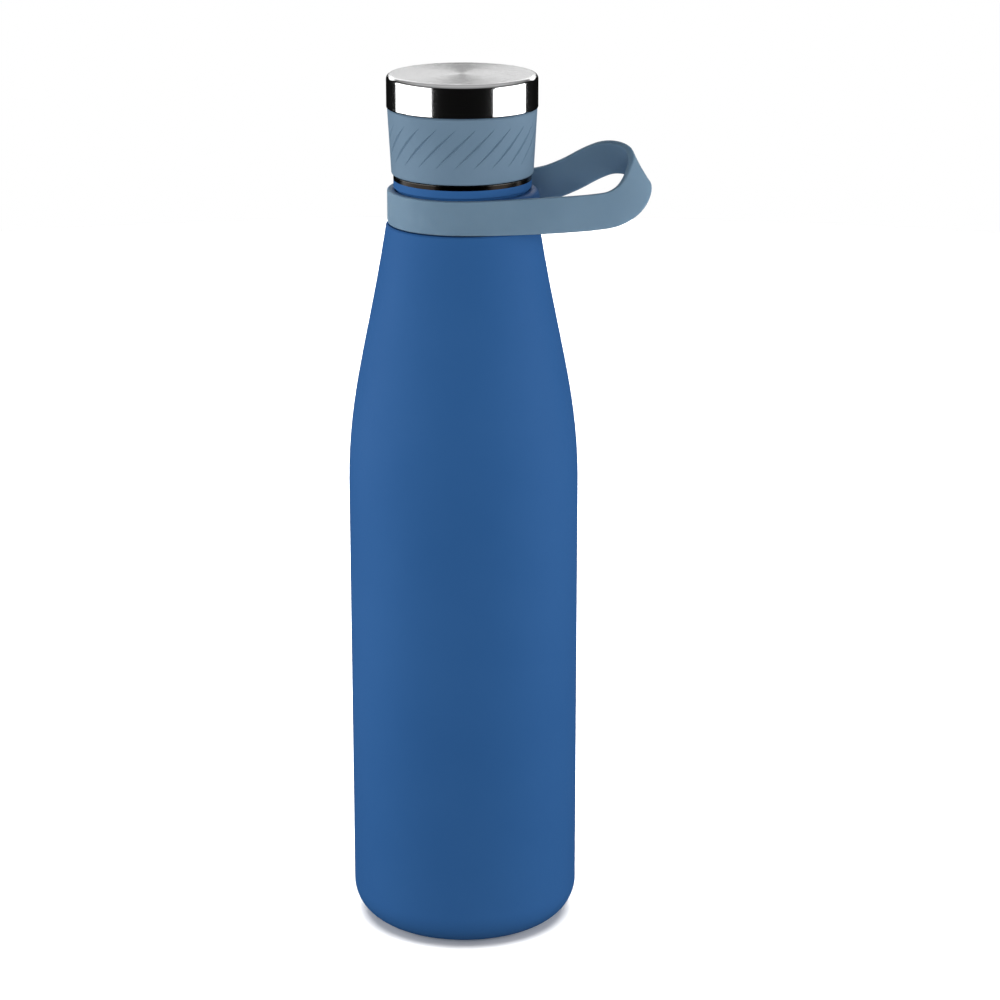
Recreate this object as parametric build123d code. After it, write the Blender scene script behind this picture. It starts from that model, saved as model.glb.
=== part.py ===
from build123d import *
import math
import os

# Half-litre double-wall vacuum bottle with a screw cap and a silicone carry strap.
# Millimetres, +Z up. The origin is on the bottle's axis, in the plane it stands on,
# and the strap's loop points to +X.

# ---- driving dimensions ----
steel_wall = 0.4
body_radius = 35.0

# outer base: a pressed cup with a round corner and a recess
base_corner_radius = 10.5
base_seam_height = 13.0
recess_radius = 20.5
recess_depth = 3.0
recess_lead_in = 1.5
dimple_radius = 4.2
dimple_rise = 1.0
evacuation_hole_radius = 1.2

# shoulder: one Bezier curve from the straight body to the ledge under the strap
shoulder_start = 140.6
shoulder_low_pull = 28.9
shoulder_high_pull = 36.1
shoulder_top_slope = 0.159
ledge_height = 221.6
ledge_outer_radius = 22.95
ledge_edge = 0.4

# neck: a groove for the strap, then a lip of the same tube as the bare steel ring
groove_radius = 19.9
groove_top = 232.3
neck_radius = 20.6
paint_top = 234.9
ring_top = 236.2

# inner vessel
inner_radius = 31.0
inner_bottom_height = 8.5
inner_corner_radius = 9.0
inner_seam_height = 18.5
inner_shoulder_start = 136.0
inner_shoulder_low_pull = 30.0
inner_shoulder_high_pull = 40.0
inner_neck_start = 224.0
mouth_height = 252.0
inner_neck_radius = 16.85
lip_thickness = 0.4

# thread: one start, right-handed
thread_pitch = 4.0
thread_root_width = 1.9
thread_crest_width = 0.9
thread_bite = 0.25
male_core_radius = 17.4
male_crest_radius = 18.25
male_start_height = 240.5
male_turns = 1.75
female_root_radius = 18.7
female_crest_radius = 17.75
female_turns = 2.0

# cap
cap_top = 266.2
cover_radius = 22.5
cover_bottom = 256.2
cover_edge_radius = 1.5
cover_foot_radius = 0.5
cover_hem_width = 1.25
sleeve_bottom = 236.5
sleeve_top = 256.1
sleeve_bottom_radius = 21.15
sleeve_top_radius = 22.25
sleeve_inner_radius = 20.0
sleeve_bottom_edge = 0.8
sleeve_top_edge = 0.35
sleeve_lip_inner_radius = 19.2
skirt_bottom = 237.2
web_bottom = 253.65
web_thickness = 2.0
web_hole_radius = 15.7
boss_wall = 1.7
fit_gap = 0.05

# grip grooves: leaf-shaped slits that climb round the sleeve
groove_count = 24
groove_first_angle = -5.1
groove_span_angle = 35.0
groove_span_height = 12.8
groove_middle_height = 247.1
groove_width = 0.9
groove_depth = 0.42
groove_sections = 9
groove_overshoot = 0.3

# plug and seal
plug_radius = 15.3
plug_bottom = 238.0
plug_wall = 1.4
plug_flange_radius = 19.5
bead_radius = 0.5
bead_height = 251.0
seal_inner_radius = 15.7
seal_outer_radius = 18.3
seal_thickness = 1.55

# strap
strap_thickness = 2.3
strap_inner_radius = 20.2
strap_neck_height = 10.1
strap_arm_height = 10.6
strap_neck_middle = 226.95
ring_step_angle = 15

# keeper: closes the strap round the neck, between its two arms
keeper_radius = 23.1
keeper_bottom = 222.2
keeper_top = 231.9
keeper_side_top = 228.3
keeper_crown_radius = 21.0
keeper_half_angle = 75.0

# getter in its bracket, under the inner vessel
getter_radius = 4.4
getter_thickness = 2.1
bracket_width = 8.0
bracket_sheet = 0.4
bracket_lip = 1.4

foil_thickness = 0.1
foil_bottom = 22.0
foil_top = 134.0

cover_disc_thickness = 0.5


def turned(points_and_edges):
    """Revolve a closed outline in the XZ plane, given as a list of edges."""
    return revolve(make_face(Wire(points_and_edges)), Axis.Z)


def outline(points):
    """Straight edges through (radius, height) points, in order."""
    corners = [Vector(radius, 0, height) for radius, height in points]
    return [Line(a, b) for a, b in zip(corners, corners[1:])]


def turned_polygon(points):
    """Revolve a closed outline of straight lines."""
    return turned(outline(points + points[:1]))


def quarter_arc(start, end, center_side):
    """A quarter circle between two (radius, height) points; center_side is its centre."""
    middle = Vector(center_side[0], 0, center_side[1])
    a = Vector(start[0], 0, start[1])
    b = Vector(end[0], 0, end[1])
    reach = (a - middle).length
    through = middle + ((a - middle) + (b - middle)).normalized() * reach
    return ThreePointArc(a, through, b)


def shoulder_curve(shift):
    """The shoulder from the body up to the ledge, moved inwards by shift."""
    top = ledge_height - ledge_edge
    start = Vector(body_radius - shift, 0, shoulder_start)
    low = Vector(body_radius - shift, 0, shoulder_start + shoulder_low_pull)
    high_radius = ledge_outer_radius + shoulder_top_slope * shoulder_high_pull
    high = Vector(high_radius - shift, 0, top - shoulder_high_pull)
    end = Vector(ledge_outer_radius - shift, 0, top)
    return Bezier(start, low, high, end)


def neck_points(shift):
    """The ledge, the strap's groove and the lip above it, moved inwards by shift."""
    return [
        (ledge_outer_radius - shift, ledge_height - ledge_edge),
        (ledge_outer_radius - ledge_edge - shift, ledge_height - shift),
        (groove_radius - shift, ledge_height - shift),
        (groove_radius - shift, groove_top + shift),
        (neck_radius - ledge_edge - shift, groove_top + shift),
        (neck_radius - shift, groove_top + ledge_edge + shift),
        (neck_radius - shift, paint_top),
    ]


def outer_shell():
    outer_neck = neck_points(0)
    inner_neck = neck_points(steel_wall)
    inner_body = body_radius - steel_wall
    edges = outline([(body_radius, base_seam_height), (body_radius, shoulder_start)])
    edges.append(shoulder_curve(0))
    edges += outline(outer_neck)
    edges += outline([outer_neck[-1], inner_neck[-1]])
    edges += outline(inner_neck)
    edges.append(shoulder_curve(steel_wall))
    edges += outline([(inner_body, shoulder_start), (inner_body, base_seam_height),
                      (body_radius, base_seam_height)])
    return turned(edges)


def base_edges(shift):
    """The pressed base from its seam to the evacuation hole, moved inwards by shift."""
    corner_middle = (body_radius - base_corner_radius, base_corner_radius)
    foot_inner = recess_radius + recess_lead_in
    side = body_radius - shift
    wall = recess_radius - shift
    roof = recess_depth + shift
    edges = outline([(side, base_seam_height), (side, base_corner_radius)])
    edges.append(quarter_arc((side, base_corner_radius), (corner_middle[0], shift), corner_middle))
    edges += outline([
        (corner_middle[0], shift),
        (foot_inner, shift),
        (wall, recess_lead_in + shift),
        (wall, roof),
        (dimple_radius - shift, roof),
        (dimple_radius - shift, roof + dimple_rise),
        (evacuation_hole_radius, roof + dimple_rise),
    ])
    return edges


def outer_base():
    roof = recess_depth + dimple_rise
    edges = base_edges(0) + base_edges(steel_wall)
    edges += outline([(body_radius - steel_wall, base_seam_height), (body_radius, base_seam_height)])
    edges += outline([(evacuation_hole_radius, roof), (evacuation_hole_radius, roof + steel_wall)])
    return turned(edges)


def vacuum_seal():
    """The glass bead that closes the evacuation hole, fused into the dimple."""
    top = recess_depth + dimple_rise
    disc_radius = dimple_radius - 2 * steel_wall
    disc = Pos(0, 0, top - dimple_rise / 2) * Cylinder(disc_radius, dimple_rise)
    stem_height = steel_wall
    stem = Pos(0, 0, top + stem_height / 2) * Cylinder(evacuation_hole_radius - fit_gap, stem_height)
    return disc + stem


def base_cover():
    """The bare steel disc bonded into the recess."""
    radius = recess_radius - 2 * steel_wall
    return Pos(0, 0, recess_depth - cover_disc_thickness / 2) * Cylinder(radius, cover_disc_thickness)


def inner_shoulder(shift):
    start = Vector(inner_radius - shift, 0, inner_shoulder_start)
    low = Vector(inner_radius - shift, 0, inner_shoulder_start + inner_shoulder_low_pull)
    high = Vector(inner_neck_radius - shift, 0, inner_neck_start - inner_shoulder_high_pull)
    end = Vector(inner_neck_radius - shift, 0, inner_neck_start)
    return Bezier(start, low, high, end)


def inner_vessel():
    """The liner's tube, shoulder and neck, with a lip turned out over the thread ring."""
    bore = inner_neck_radius - steel_wall
    inside = inner_radius - steel_wall
    edges = outline([(inner_radius, inner_seam_height), (inner_radius, inner_shoulder_start)])
    edges.append(inner_shoulder(0))
    edges += outline([
        (inner_neck_radius, inner_neck_start),
        (inner_neck_radius, mouth_height - lip_thickness),
        (male_core_radius, mouth_height - lip_thickness),
        (male_core_radius, mouth_height),
        (bore, mouth_height),
        (bore, inner_neck_start),
    ])
    edges.append(inner_shoulder(steel_wall))
    edges += outline([(inside, inner_shoulder_start), (inside, inner_seam_height),
                      (inner_radius, inner_seam_height)])
    return turned(edges)


def inner_bottom():
    """The liner's pressed bottom, welded to its tube at the seam."""
    low = inner_bottom_height
    corner = inner_corner_radius
    inside = inner_radius - steel_wall
    middle = (inner_radius - corner, low + corner)
    edges = outline([(inner_radius, inner_seam_height), (inner_radius, low + corner)])
    edges.append(quarter_arc((inner_radius, low + corner), (middle[0], low), middle))
    edges += outline([(middle[0], low), (0, low), (0, low + steel_wall), (middle[0], low + steel_wall)])
    edges.append(quarter_arc((middle[0], low + steel_wall), (inside, low + corner), middle))
    edges += outline([(inside, low + corner), (inside, inner_seam_height),
                      (inner_radius, inner_seam_height)])
    return turned(edges)


def radiation_foil():
    """Copper foil wrapped round the liner, inside the vacuum."""
    inside = inner_radius + fit_gap
    return turned_polygon([
        (inside, foil_bottom), (inside + foil_thickness, foil_bottom),
        (inside + foil_thickness, foil_top), (inside, foil_top),
    ])


def getter_bracket():
    """A strip bent into a channel, spot-welded under the liner's bottom."""
    top = inner_bottom_height
    half = getter_radius + fit_gap + bracket_sheet
    ear_height = getter_thickness + 2 * bracket_sheet
    plate = Pos(0, 0, top - bracket_sheet / 2) * Box(2 * half, bracket_width, bracket_sheet)
    bracket = plate
    for side in (-1, 1):
        ear_middle = side * (half - bracket_sheet / 2)
        ear = Pos(ear_middle, 0, top - ear_height / 2) * Box(bracket_sheet, bracket_width, ear_height)
        lip_middle = side * (half - bracket_lip / 2)
        lip_height = top - ear_height + bracket_sheet / 2
        lip = Pos(lip_middle, 0, lip_height) * Box(bracket_lip, bracket_width, bracket_sheet)
        bracket += ear + lip
    return bracket


def getter():
    """The gas-absorbing pill that the bracket holds."""
    top = inner_bottom_height - bracket_sheet
    return Pos(0, 0, top - getter_thickness / 2) * Cylinder(getter_radius, getter_thickness)


def thread_ridge(foot_radius, crest_radius, start_height, turns):
    """A helical ridge of trapezoid section from foot_radius to crest_radius."""
    inward = 1 if crest_radius < foot_radius else -1
    foot = foot_radius + inward * thread_bite
    path = Helix(pitch=thread_pitch, height=thread_pitch * turns, radius=foot_radius,
                 center=(0, 0, start_height))
    half_root = thread_root_width / 2
    half_crest = thread_crest_width / 2
    corners = [(foot, -half_root), (crest_radius, -half_crest), (crest_radius, half_crest), (foot, half_root)]
    section = Wire(outline([(radius, start_height + rise) for radius, rise in corners + corners[:1]]))
    return sweep(make_face(section), path, is_frenet=True)


def neck_thread_ring():
    """The bare steel ring: the band under the cap, its flange and the threaded mouth."""
    bore = inner_neck_radius + fit_gap
    ring = turned_polygon([
        (neck_radius, paint_top),
        (neck_radius, ring_top),
        (male_core_radius, ring_top),
        (male_core_radius, mouth_height - lip_thickness),
        (bore, mouth_height - lip_thickness),
        (bore, ring_top - steel_wall),
        (neck_radius - steel_wall, ring_top - steel_wall),
        (neck_radius - steel_wall, paint_top),
    ])
    return ring + thread_ridge(male_core_radius, male_crest_radius, male_start_height, male_turns)


def seal_ring():
    """The silicone washer that the cap presses on the bottle's lip."""
    low = mouth_height + fit_gap
    return turned_polygon([
        (seal_inner_radius, low), (seal_outer_radius, low),
        (seal_outer_radius, low + seal_thickness), (seal_inner_radius, low + seal_thickness),
    ])


def cap_body():
    """The threaded moulding: skirt, web over the seal, and the boss under the cover."""
    boss_radius = cover_radius - steel_wall - fit_gap
    boss_top = cap_top - steel_wall - fit_gap
    boss_bottom = cover_bottom + steel_wall + fit_gap
    boss_edge = cover_edge_radius - steel_wall
    body = turned_polygon([
        (female_root_radius, skirt_bottom),
        (sleeve_inner_radius - fit_gap, skirt_bottom),
        (sleeve_inner_radius - fit_gap, boss_bottom),
        (boss_radius, boss_bottom),
        (boss_radius, boss_top - boss_edge),
        (boss_radius - boss_edge, boss_top),
        (boss_radius - boss_wall, boss_top),
        (boss_radius - boss_wall, web_bottom + web_thickness),
        (web_hole_radius, web_bottom + web_thickness),
        (web_hole_radius, web_bottom),
        (female_root_radius, web_bottom),
    ])
    start = male_start_height - thread_pitch / 2
    return body + thread_ridge(female_root_radius, female_crest_radius, start, female_turns)


def cap_plug():
    """The hollow plug that reaches down the neck, with a bead that keeps the seal on."""
    web_top = web_bottom + web_thickness
    flange_top = web_top + plug_wall
    bore = plug_radius - plug_wall
    plug = turned_polygon([
        (0, plug_bottom), (plug_radius, plug_bottom), (plug_radius, web_top),
        (plug_flange_radius, web_top), (plug_flange_radius, flange_top),
        (bore, flange_top), (bore, plug_bottom + plug_wall), (0, plug_bottom + plug_wall),
    ])
    bead = Pos(0, 0, bead_height) * Torus(plug_radius, bead_radius)
    inside = Pos(0, 0, bead_height) * Cylinder(plug_radius - plug_wall / 2, 4 * bead_radius)
    return plug + (bead - inside)


def plug_insulation():
    """The foam core that fills the plug."""
    low = plug_bottom + plug_wall + fit_gap
    high = web_bottom + web_thickness + plug_wall
    core_radius = plug_radius - plug_wall - fit_gap
    return Pos(0, 0, (low + high) / 2) * Cylinder(core_radius, high - low)


def cap_top_cover():
    """The drawn steel cup on top of the cap, its lower edge rolled and hemmed inwards."""
    edge = cover_edge_radius
    foot = cover_foot_radius
    inside = cover_radius - steel_wall
    roof = cap_top - steel_wall
    middle = (cover_radius - edge, cap_top - edge)
    edges = outline([(0, roof), (0, cap_top), (middle[0], cap_top)])
    edges.append(quarter_arc((middle[0], cap_top), (cover_radius, middle[1]), middle))
    edges += outline([(cover_radius, middle[1]), (cover_radius, cover_bottom + foot)])
    foot_middle = (cover_radius - foot, cover_bottom + foot)
    edges.append(quarter_arc((cover_radius, foot_middle[1]), (foot_middle[0], cover_bottom), foot_middle))
    edges += outline([
        (foot_middle[0], cover_bottom),
        (cover_radius - cover_hem_width, cover_bottom),
        (cover_radius - cover_hem_width, cover_bottom + steel_wall),
        (inside, cover_bottom + steel_wall),
        (inside, middle[1]),
    ])
    edges.append(quarter_arc((inside, middle[1]), (middle[0], roof), middle))
    edges += outline([(middle[0], roof), (0, roof)])
    return turned(edges)


def sleeve_radius(height):
    rise = (height - sleeve_bottom) / (sleeve_top - sleeve_bottom)
    return sleeve_bottom_radius + (sleeve_top_radius - sleeve_bottom_radius) * rise


def groove_cutter():
    """One grip groove: V sections along a climbing line, widest and deepest half-way."""
    sections = []
    for index in range(groove_sections):
        along = (index + 0.5) / groove_sections - 0.5
        fullness = math.cos(math.pi * along)
        height = groove_middle_height + along * groove_span_height
        angle = along * groove_span_angle
        surface = sleeve_radius(height)
        half_width = groove_width / 2 * fullness
        depth = groove_depth * fullness
        spread = half_width * (1 + groove_overshoot / depth)
        lean = math.atan2(groove_span_height, math.radians(groove_span_angle) * surface)
        across = Vector(0, -math.sin(lean), math.cos(lean))
        out = Vector(1, 0, 0)
        middle = Vector(0, 0, height)
        corners = [
            middle + out * (surface - depth),
            middle + out * (surface + groove_overshoot) - across * spread,
            middle + out * (surface + groove_overshoot) + across * spread,
        ]
        wire = Wire.make_polygon(corners, close=True)
        sections.append(wire.rotate(Axis.Z, angle))
    return Solid.make_loft(sections, ruled=True)


def cap_grip_sleeve():
    """The soft grip moulded round the skirt, with its ring of slanting grooves."""
    low = sleeve_bottom_edge
    high = sleeve_top_edge
    foot_radius = sleeve_radius(sleeve_bottom + low)
    foot_middle = (foot_radius - low, sleeve_bottom + low)
    edges = outline([(sleeve_lip_inner_radius, sleeve_bottom), (foot_middle[0], sleeve_bottom)])
    edges.append(quarter_arc((foot_middle[0], sleeve_bottom), (foot_radius, foot_middle[1]), foot_middle))
    edges += outline([
        (foot_radius, foot_middle[1]),
        (sleeve_radius(sleeve_top - high), sleeve_top - high),
        (sleeve_radius(sleeve_top) - high, sleeve_top),
        (sleeve_inner_radius, sleeve_top),
        (sleeve_inner_radius, skirt_bottom - fit_gap),
        (sleeve_lip_inner_radius, skirt_bottom - fit_gap),
        (sleeve_lip_inner_radius, sleeve_bottom),
    ])
    sleeve = turned(edges)
    cutter = groove_cutter()
    step = 360 / groove_count
    angles = [groove_first_angle + index * step for index in range(groove_count)]
    cutters = [cutter.rotate(Axis.Z, angle) for angle in angles]
    return sleeve - cutters


# The strap's loop, from the front of the neck round its far end to the back of the neck:
# x, y and z of the band's middle, and how far its top leans towards the neck, in degrees.
strap_loop = [
    (7.0, -21.1, 227.0, 0),
    (15.0, -20.1, 227.1, 2),
    (24.0, -18.3, 227.2, 4),
    (32.0, -15.9, 227.2, 5),
    (39.0, -13.3, 227.3, 7),
    (44.5, -10.9, 227.8, 12),
    (48.8, -7.8, 229.7, 21),
    (51.5, -4.1, 232.7, 30),
    (52.5, 0.3, 236.2, 34),
    (50.9, 4.4, 238.4, 30),
    (47.6, 7.5, 239.6, 24),
    (43.4, 10.1, 239.3, 19),
    (38.6, 12.4, 237.1, 15),
    (32.5, 14.8, 233.4, 12),
    (26.0, 17.1, 230.4, 8),
    (18.5, 19.3, 228.6, 0),
    (12.0, 20.5, 227.5, 0),
    (6.5, 21.15, 227.0, 0),
]


def strap_stations():
    """Middle, lean and height of the band at each station, once round anticlockwise."""
    ring_radius = strap_inner_radius + strap_thickness / 2
    stations = []
    for angle in range(90, 271, ring_step_angle):
        x = ring_radius * math.cos(math.radians(angle))
        y = ring_radius * math.sin(math.radians(angle))
        stations.append((Vector(x, y, strap_neck_middle), 0, strap_neck_height))
    widening = 24.0
    for x, y, z, lean in strap_loop:
        share = min(1, x / widening)
        height = strap_neck_height + (strap_arm_height - strap_neck_height) * share
        stations.append((Vector(x, y, z), lean, height))
    return stations


def strap_section(middle, tangent, lean, height):
    """The band's rectangle across its path."""
    up = (Vector(0, 0, 1) - tangent * tangent.Z).normalized()
    out = tangent.cross(up)
    angle = math.radians(lean)
    tall = up * math.cos(angle) - out * math.sin(angle)
    thick = out * math.cos(angle) + up * math.sin(angle)
    corners = []
    for side, level in ((-1, -1), (1, -1), (1, 1), (-1, 1)):
        offset = thick * (side * strap_thickness / 2) + tall * (level * height / 2)
        corners.append(middle + offset)
    return Wire.make_polygon(corners, close=True)


def carry_strap():
    """A closed silicone band: round the neck in its groove, and out into a finger loop."""
    stations = strap_stations()
    path = Edge.make_spline([middle for middle, _, _ in stations], periodic=True)
    sections = []
    for middle, lean, height in stations:
        tangent = path.tangent_at(path.param_at_point(middle))
        sections.append(strap_section(middle, tangent, lean, height))
    ring_end = 180 // ring_step_angle
    ring = Solid.make_loft(sections[:ring_end + 1])
    loop = Solid.make_loft(sections[ring_end:] + sections[:1])
    return ring + loop


def strap_keeper():
    """The moulded arc that fills the gap between the strap's arms and the neck."""
    side = Vector(keeper_radius, 0, keeper_side_top)
    corner = Vector(keeper_radius, 0, keeper_top)
    crown = Vector(keeper_crown_radius, 0, keeper_top)
    edges = outline([(keeper_crown_radius, keeper_top), (strap_inner_radius, keeper_top),
                     (strap_inner_radius, keeper_bottom), (keeper_radius, keeper_bottom),
                     (keeper_radius, keeper_side_top)])
    edges.append(Bezier(side, corner, crown))
    arc = revolve(make_face(Wire(edges)), Axis.Z, 2 * keeper_half_angle)
    return Rot(0, 0, -keeper_half_angle) * arc - carry_strap()


nodes = {
    "outer_shell": outer_shell,
    "outer_base": outer_base,
    "base_cover": base_cover,
    "vacuum_seal": vacuum_seal,
    "neck_thread_ring": neck_thread_ring,
    "inner_vessel": inner_vessel,
    "inner_bottom": inner_bottom,
    "radiation_foil": radiation_foil,
    "getter_bracket": getter_bracket,
    "getter": getter,
    "seal_ring": seal_ring,
    "cap_body": cap_body,
    "cap_plug": cap_plug,
    "plug_insulation": plug_insulation,
    "cap_top_cover": cap_top_cover,
    "cap_grip_sleeve": cap_grip_sleeve,
    "carry_strap": carry_strap,
    "strap_keeper": strap_keeper,
}

os.makedirs("parts", exist_ok=True)
for name, make in nodes.items():
    export_step(make(), f"parts/{name}.step")
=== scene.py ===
import bmesh
import bpy
import math
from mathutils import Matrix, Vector


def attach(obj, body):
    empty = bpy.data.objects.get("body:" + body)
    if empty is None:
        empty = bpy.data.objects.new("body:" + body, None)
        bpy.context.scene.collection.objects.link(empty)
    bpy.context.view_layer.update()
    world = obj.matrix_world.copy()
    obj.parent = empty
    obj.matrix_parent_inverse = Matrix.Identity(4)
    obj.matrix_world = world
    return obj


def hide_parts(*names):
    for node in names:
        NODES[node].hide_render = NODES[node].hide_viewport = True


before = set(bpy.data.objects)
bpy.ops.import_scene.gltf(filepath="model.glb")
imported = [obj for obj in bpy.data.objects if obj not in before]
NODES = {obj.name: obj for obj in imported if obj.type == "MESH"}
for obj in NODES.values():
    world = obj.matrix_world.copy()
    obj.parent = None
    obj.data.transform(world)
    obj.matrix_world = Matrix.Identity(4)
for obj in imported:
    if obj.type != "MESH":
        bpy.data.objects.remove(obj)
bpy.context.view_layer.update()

MM = 0.001


# ---------------------------------------------------------------- materials

class Maker:
    """A material's node tree, with short calls for the nodes used here."""

    def __init__(self, name):
        self.material = bpy.data.materials.new(name)
        self.material.use_nodes = True
        self.tree = self.material.node_tree
        self.shader = self.tree.nodes["Principled BSDF"]
        self.place = self.node("ShaderNodeTexCoord").outputs["Object"]

    def node(self, kind, **settings):
        made = self.tree.nodes.new(kind)
        for key, value in settings.items():
            setattr(made, key, value)
        return made

    def join(self, source, target):
        self.tree.links.new(source, target)

    def set(self, **values):
        for key, value in values.items():
            self.shader.inputs[key.replace("_", " ")].default_value = value

    def maths(self, operation, first, second=None):
        made = self.node("ShaderNodeMath", operation=operation)
        for socket, value in zip(made.inputs, (first, second)):
            if value is None:
                continue
            if isinstance(value, (int, float)):
                socket.default_value = value
            else:
                self.join(value, socket)
        return made.outputs[0]

    def noise(self, size, detail=2.0, place=None, stretch=(1, 1, 1)):
        """Noise whose features are about size metres across, stretched along an axis."""
        mapping = self.node("ShaderNodeMapping")
        mapping.inputs["Scale"].default_value = [1 / (size * part) for part in stretch]
        self.join(place or self.place, mapping.inputs["Vector"])
        made = self.node("ShaderNodeTexNoise")
        made.inputs["Scale"].default_value = 1.0
        made.inputs["Detail"].default_value = detail
        self.join(mapping.outputs[0], made.inputs["Vector"])
        return made.outputs["Fac"]

    def spread(self, value, low, high, source_low=0.3, source_high=0.7):
        made = self.node("ShaderNodeMapRange")
        made.inputs["From Min"].default_value = source_low
        made.inputs["From Max"].default_value = source_high
        made.inputs["To Min"].default_value = low
        made.inputs["To Max"].default_value = high
        self.join(value, made.inputs["Value"])
        return made.outputs["Result"]

    def mix(self, value, first, second):
        """A colour between first and second by value; each is a colour or a socket."""
        made = self.node("ShaderNodeMix", data_type="RGBA")
        self.join(value, made.inputs[0])
        for socket, side in ((made.inputs[6], first), (made.inputs[7], second)):
            if isinstance(side, tuple):
                socket.default_value = (*side, 1)
            else:
                self.join(side, socket)
        return made.outputs[2]

    def colour(self, value, first, second):
        """Base colour between first and second by value."""
        self.join(self.mix(value, first, second), self.shader.inputs["Base Color"])

    def rough(self, value, low, high):
        self.join(self.spread(value, low, high), self.shader.inputs["Roughness"])

    def bump(self, value, depth, strength=1.0):
        """Bump of about depth metres from value."""
        made = self.node("ShaderNodeBump")
        made.inputs["Strength"].default_value = strength
        made.inputs["Distance"].default_value = depth
        self.join(value, made.inputs["Height"])
        self.join(made.outputs["Normal"], self.shader.inputs["Normal"])

    def radius_and_height(self):
        """Distance from the bottle's axis, and height above its foot."""
        parts = self.node("ShaderNodeSeparateXYZ")
        self.join(self.place, parts.inputs[0])
        squares = [self.maths("MULTIPLY", parts.outputs[i], parts.outputs[i]) for i in (0, 1)]
        return self.maths("SQRT", self.maths("ADD", *squares)), parts.outputs[2]

    def lines(self, width, detail, place):
        """One-dimensional noise: lines about width metres apart along place."""
        made = self.node("ShaderNodeTexNoise", noise_dimensions="1D")
        made.inputs["Scale"].default_value = 1 / width
        made.inputs["Detail"].default_value = detail
        self.join(place, made.inputs["W"])
        return made.outputs["Fac"]


def srgb(red, green, blue):
    """Linear colour from 0 to 255 screen values."""
    def linear(value):
        part = value / 255
        return part / 12.92 if part <= 0.04045 else ((part + 0.055) / 1.055) ** 2.4
    return tuple(linear(value) for value in (red, green, blue))


TURNING_LINE = 0.2 * MM
TURNING_DEPTH = 0.003 * MM
BRUSHED_LINE = 0.18 * MM
BRUSHED_DEPTH = 0.004 * MM
POLISHED_ROUGHNESS = 0.08
# The neck ring's colour is darkened from its foot up to this height as painted shade under the
# cap, then it is ordinary bright steel.
PAINTED_SHADE_TOP = 236.1 * MM
PAINTED_SHADE_FADE = 0.3 * MM
PAINT_GRAIN = 0.5 * MM
PAINT_PEEL = 3 * MM
PAINT_DRIFT = 50 * MM
PAINT_DEPTH = 0.03 * MM
SILICONE_BLOOM = 12 * MM
SILICONE_DEPTH = 0.02 * MM
SILICONE_GLOW = 4 * MM
STRAP_CLEARNESS = 0.5
PLASTIC_GRAIN = 0.6 * MM
PLASTIC_DEPTH = 0.01 * MM
FOIL_CREASE = 8 * MM
FOIL_DEPTH = 0.2 * MM
FOAM_CELL = 0.8 * MM
FOAM_DEPTH = 0.2 * MM
SINTERED_GRAIN = 0.3 * MM
SINTERED_DEPTH = 0.05 * MM
BODY_BLUE = (srgb(48, 95, 152), srgb(52, 99, 156))
GRIP_BLUE = (srgb(109, 134, 156), srgb(114, 139, 161))
STRAP_BLUE = (srgb(114, 141, 163), srgb(119, 146, 168))
LINER_GREY = (srgb(182, 182, 182), srgb(204, 204, 203))
BASE_GREY = (srgb(176, 176, 178), srgb(200, 200, 201))
NECK_GREY = (srgb(150, 148, 145), srgb(178, 176, 173))
# Painted shade: dark colours for the neck ring's foot, where the cap shades it.
NECK_PAINTED_SHADE = (srgb(24, 21, 19), srgb(34, 30, 27))
BRACKET_GREY = (srgb(160, 160, 160), srgb(184, 184, 184))
CAP_GREY = (srgb(52, 58, 64), srgb(60, 66, 72))
PLUG_GREY = (srgb(64, 70, 76), srgb(72, 78, 84))


def powder_coat():
    """Matt blue powder coat: fine grain, a faint orange peel and slight colour drift."""
    m = Maker("powder_coat_blue")
    drift = m.noise(PAINT_DRIFT, 3)
    m.colour(m.spread(drift, 0, 1), *BODY_BLUE)
    grain = m.noise(PAINT_GRAIN, 3)
    peel = m.noise(PAINT_PEEL, 2)
    m.rough(grain, 0.50, 0.62)
    m.set(Specular_IOR_Level=0.03)
    m.bump(m.maths("ADD", m.maths("MULTIPLY", grain, 0.35), peel), PAINT_DEPTH)
    return m.material


def silicone(name, first, second, grain_size, low, high, clear=0.0):
    """Matt rubber with a fine even grain and a little bloom; clear lets light through it."""
    m = Maker(name)
    bloom = m.noise(SILICONE_BLOOM, 4)
    m.colour(m.spread(bloom, 0, 1), first, second)
    grain = m.noise(grain_size, 2)
    m.rough(grain, low, high)
    m.set(Specular_IOR_Level=0.08, Sheen_Weight=0.02, Sheen_Roughness=0.5)
    m.bump(grain, SILICONE_DEPTH)
    if clear:
        m.set(Subsurface_Weight=clear, Subsurface_Scale=SILICONE_GLOW)
        m.set(Subsurface_Radius=(0.9, 0.95, 1.0))
    return m.material


def cover_steel():
    """Drawn steel: polished side, top face with rings from spin brushing."""
    m = Maker("cover_steel")
    radius = m.radius_and_height()[0]
    facing = m.node("ShaderNodeNewGeometry").outputs["Normal"]
    parts = m.node("ShaderNodeSeparateXYZ")
    m.join(facing, parts.inputs[0])
    top = m.spread(parts.outputs[2], 0, 1, 0.6, 0.95)
    rings = m.lines(BRUSHED_LINE, 3, radius)
    m.colour(m.spread(rings, 0, 1), srgb(212, 212, 213), srgb(240, 240, 240))
    blend = m.node("ShaderNodeMix")
    m.join(top, blend.inputs[0])
    blend.inputs[2].default_value = POLISHED_ROUGHNESS
    m.join(m.spread(rings, 0.16, 0.30), blend.inputs[3])
    m.join(blend.outputs[0], m.shader.inputs["Roughness"])
    m.set(Metallic=1.0, Anisotropic=0.7)
    tangent = m.node("ShaderNodeTangent", direction_type="RADIAL", axis="Z")
    m.join(tangent.outputs[0], m.shader.inputs["Tangent"])
    m.bump(m.maths("MULTIPLY", rings, top), BRUSHED_DEPTH)
    return m.material


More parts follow.
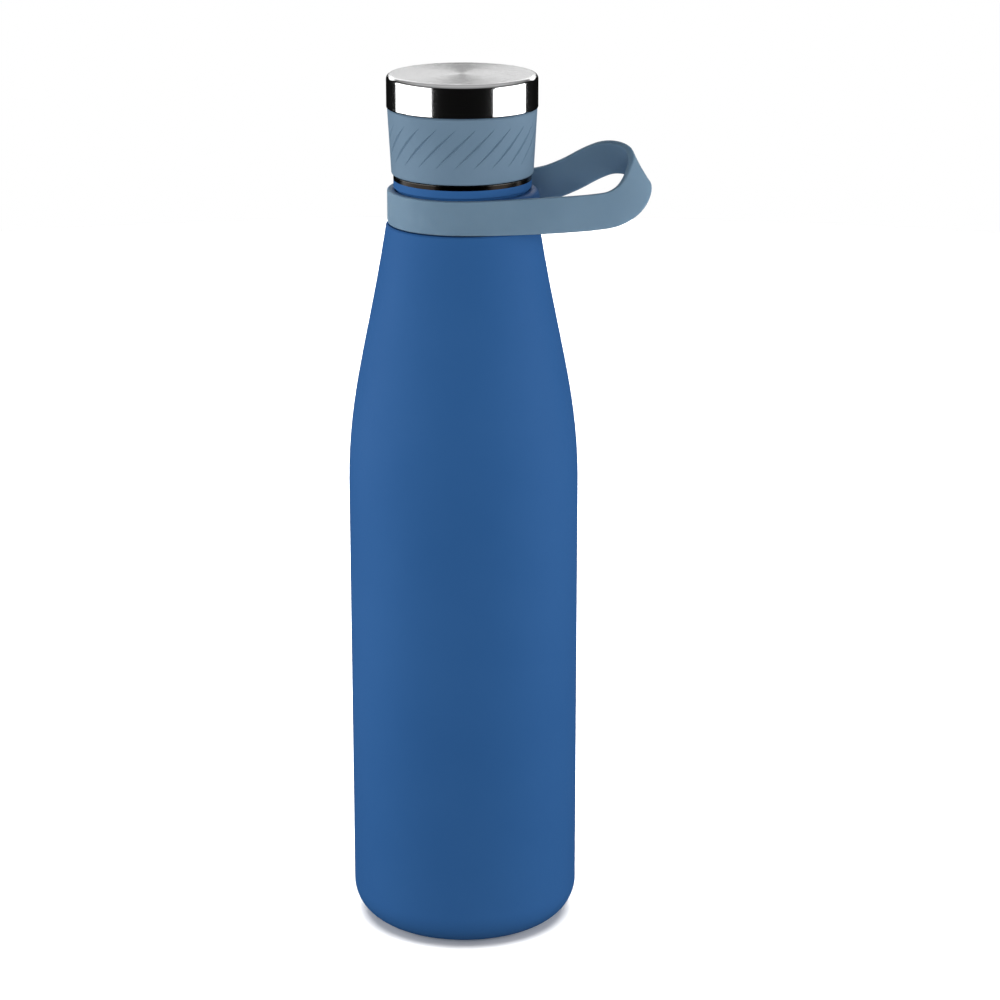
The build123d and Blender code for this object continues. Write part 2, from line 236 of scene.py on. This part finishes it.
def turned_steel(name, first, second, low, high, foot=None):
    """Stainless steel with fine turning lines; foot is the two colours of painted shade on its
    foot, under the cap.
    """
    m = Maker(name)
    radius, height = m.radius_and_height()
    lines = m.lines(TURNING_LINE, 2, m.maths("ADD", height, radius))
    share = m.spread(lines, 0, 1)
    # Below the band's top height the foot gets the painted shade colours instead of the steel's
    # own.
    if foot:
        above = m.spread(height, 0, 1, PAINTED_SHADE_TOP, PAINTED_SHADE_TOP + PAINTED_SHADE_FADE)
        m.colour(above, m.mix(share, *foot), m.mix(share, first, second))
    else:
        m.colour(share, first, second)
    m.rough(lines, low, high)
    m.set(Metallic=1.0)
    m.bump(lines, TURNING_DEPTH)
    return m.material


def moulded_plastic(name, first, second, low=0.35, high=0.5, gloss=0.5):
    """Moulded plastic with a fine spark-eroded grain."""
    m = Maker(name)
    m.set(Specular_IOR_Level=gloss)
    m.colour(m.spread(m.noise(0.01, 3), 0, 1), first, second)
    grain = m.noise(PLASTIC_GRAIN, 2)
    m.rough(grain, low, high)
    m.bump(grain, PLASTIC_DEPTH)
    return m.material


def copper_foil():
    """Copper foil with soft creases, longer along the liner than round it."""
    m = Maker("copper_foil")
    creases = m.noise(FOIL_CREASE, 4, stretch=(1, 1, 3))
    m.colour(m.spread(creases, 0, 1), srgb(196, 118, 82), srgb(226, 152, 112))
    m.rough(creases, 0.2, 0.38)
    m.set(Metallic=1.0)
    m.bump(creases, FOIL_DEPTH)
    return m.material


def foam():
    """Pale foam with round cells."""
    m = Maker("foam")
    voronoi = m.node("ShaderNodeTexVoronoi")
    voronoi.inputs["Scale"].default_value = 1 / FOAM_CELL
    m.join(m.place, voronoi.inputs["Vector"])
    cells = voronoi.outputs["Distance"]
    m.colour(m.spread(cells, 0, 1, 0, 0.8), srgb(214, 208, 192), srgb(238, 234, 222))
    m.rough(cells, 0.8, 0.95)
    m.bump(cells, FOAM_DEPTH)
    return m.material


def clear_silicone():
    """Translucent silicone, slightly cloudy."""
    m = Maker("clear_silicone")
    cloud = m.noise(3 * MM, 2)
    m.colour(m.spread(cloud, 0, 1), srgb(214, 218, 216), srgb(232, 235, 233))
    m.rough(cloud, 0.3, 0.42)
    m.set(Subsurface_Weight=0.3, Subsurface_Scale=2 * MM)
    return m.material


def bead_glass():
    """Cloudy solder glass."""
    m = Maker("bead_glass")
    cloud = m.noise(1.2 * MM, 3)
    m.colour(m.spread(cloud, 0, 1), srgb(176, 184, 172), srgb(206, 212, 200))
    m.rough(cloud, 0.08, 0.2)
    m.set(IOR=1.5)
    return m.material


def sintered_metal():
    """Dark pressed metal powder."""
    m = Maker("sintered_metal")
    grain = m.noise(SINTERED_GRAIN, 3)
    m.colour(m.spread(grain, 0, 1), srgb(60, 60, 62), srgb(96, 95, 94))
    m.rough(grain, 0.6, 0.85)
    m.set(Metallic=0.8)
    m.bump(grain, SINTERED_DEPTH)
    return m.material


paint = powder_coat()
liner = turned_steel("liner_steel", *LINER_GREY, 0.22, 0.36)
strap_silicone = silicone("strap_silicone", *STRAP_BLUE, 0.30 * MM, 0.52, 0.64, STRAP_CLEARNESS)
node_materials = {
    "outer_shell": paint,
    "outer_base": paint,
    "base_cover": turned_steel("base_steel", *BASE_GREY, 0.2, 0.34),
    "vacuum_seal": bead_glass(),
    # The neck ring's foot under the cap is painted with shade colours.
    "neck_thread_ring": turned_steel("neck_steel", *NECK_GREY, 0.16, 0.28, foot=NECK_PAINTED_SHADE),
    "inner_vessel": liner,
    "inner_bottom": liner,
    "radiation_foil": copper_foil(),
    "getter_bracket": turned_steel("bracket_steel", *BRACKET_GREY, 0.3, 0.45),
    "getter": sintered_metal(),
    "seal_ring": clear_silicone(),
    "cap_body": moulded_plastic("cap_plastic", *CAP_GREY),
    "cap_plug": moulded_plastic("plug_plastic", *PLUG_GREY),
    "plug_insulation": foam(),
    "cap_top_cover": cover_steel(),
    "cap_grip_sleeve": silicone("grip_rubber", *GRIP_BLUE, 0.35 * MM, 0.55, 0.68),
    "strap_keeper": moulded_plastic("keeper_plastic", *BODY_BLUE, low=0.45, high=0.6, gloss=0.25),
}
for name, material in node_materials.items():
    for slot in NODES[name].material_slots:
        slot.material = material


# ---------------------------------------------------------------- carry strap

STRAP_THICKNESS = 2.3 * MM
STRAP_INNER_RADIUS = 20.2 * MM
STRAP_NECK_HEIGHT = 10.1 * MM
STRAP_ARM_HEIGHT = 10.6 * MM
STRAP_NECK_MIDDLE = 226.95 * MM
STRAP_WIDENING = 24 * MM
STRAP_EDGE = 0.55 * MM
EDGE_STEPS = 4
RING_STEP_ANGLE = 15
STEPS_PER_STATION = 5

# The loop, from the front of the neck round its far end to the back of the neck:
# x, y and z of the band's middle in millimetres, and its lean towards the neck in degrees.
STRAP_LOOP = [
    (7.0, -21.1, 227.0, 0),
    (15.0, -20.1, 227.1, 2),
    (24.0, -18.3, 227.2, 4),
    (32.0, -15.9, 227.2, 5),
    (39.0, -13.3, 227.3, 7),
    (44.5, -10.9, 227.8, 12),
    (48.8, -7.8, 229.7, 21),
    (51.5, -4.1, 232.7, 30),
    (52.5, 0.3, 236.2, 34),
    (50.9, 4.4, 238.4, 30),
    (47.6, 7.5, 239.6, 24),
    (43.4, 10.1, 239.3, 19),
    (38.6, 12.4, 237.1, 15),
    (32.5, 14.8, 233.4, 12),
    (26.0, 17.1, 230.4, 8),
    (18.5, 19.3, 228.6, 0),
    (12.0, 20.5, 227.5, 0),
    (6.5, 21.15, 227.0, 0),
]


def strap_stations():
    """Middle, lean and height of the band at each station, once round anticlockwise."""
    ring_radius = STRAP_INNER_RADIUS + STRAP_THICKNESS / 2
    stations = []
    for angle in range(90, 271, RING_STEP_ANGLE):
        x = ring_radius * math.cos(math.radians(angle))
        y = ring_radius * math.sin(math.radians(angle))
        stations.append((Vector((x, y, STRAP_NECK_MIDDLE)), 0.0, STRAP_NECK_HEIGHT))
    for x, y, z, lean in STRAP_LOOP:
        share = min(1, x * MM / STRAP_WIDENING)
        height = STRAP_NECK_HEIGHT + (STRAP_ARM_HEIGHT - STRAP_NECK_HEIGHT) * share
        stations.append((Vector((x, y, z)) * MM, math.radians(lean), height))
    return stations


def rounded_section(height):
    """Points of the band's section: (across, up) from its middle, corners rounded."""
    half_thick = STRAP_THICKNESS / 2
    half_tall = height / 2
    points = []
    for side, level, first in ((1, -1, -90), (1, 1, 0), (-1, 1, 90), (-1, -1, 180)):
        for step in range(EDGE_STEPS + 1):
            angle = math.radians(first + 90 * step / EDGE_STEPS)
            across = side * (half_thick - STRAP_EDGE) + STRAP_EDGE * math.cos(angle)
            up = level * (half_tall - STRAP_EDGE) + STRAP_EDGE * math.sin(angle)
            points.append((across, up))
    return points


def smooth(values, index, part):
    """Catmull-Rom value between stations index and index + 1 of a closed list."""
    count = len(values)
    a, b, c, d = (values[(index + shift) % count] for shift in (-1, 0, 1, 2))
    line = b * 2 + (c - a) * part
    bend = (a * 2 - b * 5 + c * 4 - d) * part ** 2
    twist = (b * 3 - a - c * 3 + d) * part ** 3
    return (line + bend + twist) * 0.5


def strap_path():
    """Middle, lean and height of the band at every step between its stations."""
    stations = strap_stations()
    columns = [list(column) for column in zip(*stations)]
    path = []
    for index in range(len(stations)):
        for step in range(STEPS_PER_STATION):
            part = step / STEPS_PER_STATION
            path.append(tuple(smooth(column, index, part) for column in columns))
    return path


def make_strap():
    """The whole band as one closed tube of rings, one ring at each step of its path."""
    path = strap_path()
    mesh = bmesh.new()
    rings = []
    for index, (middle, lean, height) in enumerate(path):
        tangent = (path[(index + 1) % len(path)][0] - path[index - 1][0]).normalized()
        up = (Vector((0, 0, 1)) - tangent * tangent.z).normalized()
        out = tangent.cross(up)
        tall = up * math.cos(lean) - out * math.sin(lean)
        thick = out * math.cos(lean) + up * math.sin(lean)
        rings.append([mesh.verts.new(middle + thick * across + tall * rise)
                      for across, rise in rounded_section(height)])
    for ring, following in zip(rings, rings[1:] + rings[:1]):
        for corner in range(len(ring)):
            after = (corner + 1) % len(ring)
            mesh.faces.new((ring[corner], following[corner], following[after], ring[after]))
    bmesh.ops.recalc_face_normals(mesh, faces=mesh.faces)
    data = bpy.data.meshes.new("strap_band")
    mesh.to_mesh(data)
    mesh.free()
    data.shade_smooth()
    strap = bpy.data.objects.new("strap_band", data)
    bpy.context.collection.objects.link(strap)
    strap.data.materials.append(strap_silicone)
    return strap


strap = make_strap()
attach(strap, "strap")
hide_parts("carry_strap")


# ---------------------------------------------------------------- floor, lights and camera

# Lengths are in metres, angles in degrees and powers in watts.
FLOOR_RADIUS = 1.1
FLOOR_LIGHT = 6.9
FLOOR_LIGHT_SPREAD = 60
BOX_DISTANCE = 0.62
BOX_HEIGHT = 0.45
BOX_MIDDLE = 0.22
LEFT_ANGLE = 188.2
LEFT_WIDTH = 0.89
LEFT_POWER = 4.0
RIGHT_ANGLE = -11
RIGHT_WIDTH = 0.74
RIGHT_POWER = 3.4
BACK_PLACE = (0, 1.3, 0.75)
BACK_TARGET = (0, 0, 0.26)
BACK_SIZE = (2.4, 0.42)
BACK_POWER = 5.8
SOFT_DISTANCE = 1
SOFT_ABOVE = 0.42
SOFT_TARGET = (0, 0, 0.15)
SOFT_SIZE = (0.8, 0.5)
FRONT_POWER = 4.0
REAR_POWER = 3.5

# The world's light: its level for the fill and for reflections, each below and above
# a range of a direction's height, from -1 straight down to 1 straight up.
FILL_RANGE = (-0.3, 0.3)
FILL_BELOW = 0.25
FILL_ABOVE = 0.05
REFLECTED_RANGE = (0.35, 0.8)
REFLECTED_BELOW = 0.004
REFLECTED_ABOVE = 0.5

CAMERA_PLACE = (0.01115, -0.8991, 0.405)
CAMERA_DOWN = 16.72
CAMERA_LENS = 110.1
CAMERA_SENSOR = 36


def make_floor():
    """A round white floor, wide enough for every view."""
    bpy.ops.mesh.primitive_circle_add(vertices=96, radius=FLOOR_RADIUS, fill_type="NGON")
    floor = bpy.context.object
    floor.name = "floor"
    m = Maker("floor_white")
    m.colour(m.spread(m.noise(0.2, 2), 0, 1), (0.86, 0.86, 0.86), (0.87, 0.87, 0.87))
    m.set(Roughness=0.9, Specular_IOR_Level=0.1)
    floor.data.materials.append(m.material)
    floor.visible_diffuse = False
    floor.visible_glossy = False
    return floor


def light_floor(floor):
    """An even light from above that falls on the floor alone, so it stays white."""
    sun = bpy.data.lights.new("floor_light", "SUN")
    sun.energy = FLOOR_LIGHT
    sun.angle = math.radians(FLOOR_LIGHT_SPREAD)
    lamp = bpy.data.objects.new("floor_light", sun)
    lamp.location = (0, 0, 1)
    bpy.context.collection.objects.link(lamp)
    receivers = bpy.data.collections.new("floor_only")
    receivers.objects.link(floor)
    lamp.light_linking.receiver_collection = receivers


def area_light(name, place, target, size, power):
    """A soft box of width and height size, unseen by the camera, that faces target."""
    light = bpy.data.lights.new(name, "AREA")
    light.shape = "RECTANGLE"
    light.size, light.size_y = size
    light.energy = power
    lamp = bpy.data.objects.new(name, light)
    lamp.location = place
    lamp.rotation_euler = (Vector(target) - Vector(place)).to_track_quat("-Z", "Y").to_euler()
    lamp.visible_camera = False
    bpy.context.collection.objects.link(lamp)
    return lamp


def around(azimuth, distance, height):
    """A place round the bottle; azimuth in degrees from +X, anticlockwise from above."""
    angle = math.radians(azimuth)
    return (distance * math.cos(angle), distance * math.sin(angle), height)


def make_lights():
    """Two upright boxes beside the bottle, a wide one behind for the cap's top, and one
    in front and one at the rear that light the bottle but are kept out of reflections."""
    middle = (0, 0, BOX_MIDDLE)
    for name, angle, width, power in (("left_box", LEFT_ANGLE, LEFT_WIDTH, LEFT_POWER),
                                      ("right_box", RIGHT_ANGLE, RIGHT_WIDTH, RIGHT_POWER)):
        place = around(angle, BOX_DISTANCE, BOX_MIDDLE)
        area_light(name, place, middle, (width, BOX_HEIGHT), power)
    area_light("back_box", BACK_PLACE, BACK_TARGET, BACK_SIZE, BACK_POWER)
    for name, side, power in (("front_box", -1, FRONT_POWER), ("rear_box", 1, REAR_POWER)):
        place = (0, side * SOFT_DISTANCE, SOFT_ABOVE)
        box = area_light(name, place, SOFT_TARGET, SOFT_SIZE, power)
        box.visible_glossy = False


def make_world():
    """White to the camera, a fill that is brighter from the floor, and for reflections
    black low down, as between flags, under a pale ceiling."""
    world = bpy.data.worlds.new("studio")
    bpy.context.scene.world = world
    world.use_nodes = True
    tree = world.node_tree
    ray = tree.nodes.new("ShaderNodeLightPath")
    direction = tree.nodes.new("ShaderNodeTexCoord")
    parts = tree.nodes.new("ShaderNodeSeparateXYZ")
    tree.links.new(direction.outputs["Generated"], parts.inputs[0])

    def shade(low, high, low_level, high_level):
        """Light that goes from low_level to high_level as a direction's height rises."""
        made = tree.nodes.new("ShaderNodeMapRange")
        for key, value in (("From Min", low), ("From Max", high),
                           ("To Min", low_level), ("To Max", high_level)):
            made.inputs[key].default_value = value
        tree.links.new(parts.outputs[2], made.inputs["Value"])
        light = tree.nodes.new("ShaderNodeBackground")
        tree.links.new(made.outputs["Result"], light.inputs["Color"])
        return light.outputs[0]

    last = shade(*FILL_RANGE, FILL_BELOW, FILL_ABOVE)
    reflected = shade(*REFLECTED_RANGE, REFLECTED_BELOW, REFLECTED_ABOVE)
    seen = tree.nodes["Background"]
    seen.inputs["Color"].default_value = (1, 1, 1, 1)
    for light, kind in ((reflected, "Is Glossy Ray"), (seen.outputs[0], "Is Camera Ray")):
        mix = tree.nodes.new("ShaderNodeMixShader")
        tree.links.new(ray.outputs[kind], mix.inputs[0])
        tree.links.new(last, mix.inputs[1])
        tree.links.new(light, mix.inputs[2])
        last = mix.outputs[0]
    tree.links.new(last, tree.nodes["World Output"].inputs["Surface"])


def make_camera():
    """A long lens in front of the bottle and above its top, looking down."""
    data = bpy.data.cameras.new("camera")
    data.sensor_width = CAMERA_SENSOR
    data.lens = CAMERA_LENS
    data.clip_start = 0.05
    camera = bpy.data.objects.new("camera", data)
    camera.location = CAMERA_PLACE
    camera.rotation_euler = (math.radians(90 - CAMERA_DOWN), 0, 0)
    bpy.context.collection.objects.link(camera)
    bpy.context.scene.camera = camera


light_floor(make_floor())
make_lights()
make_world()
make_camera()
bpy.context.scene.view_settings.view_transform = "Standard"
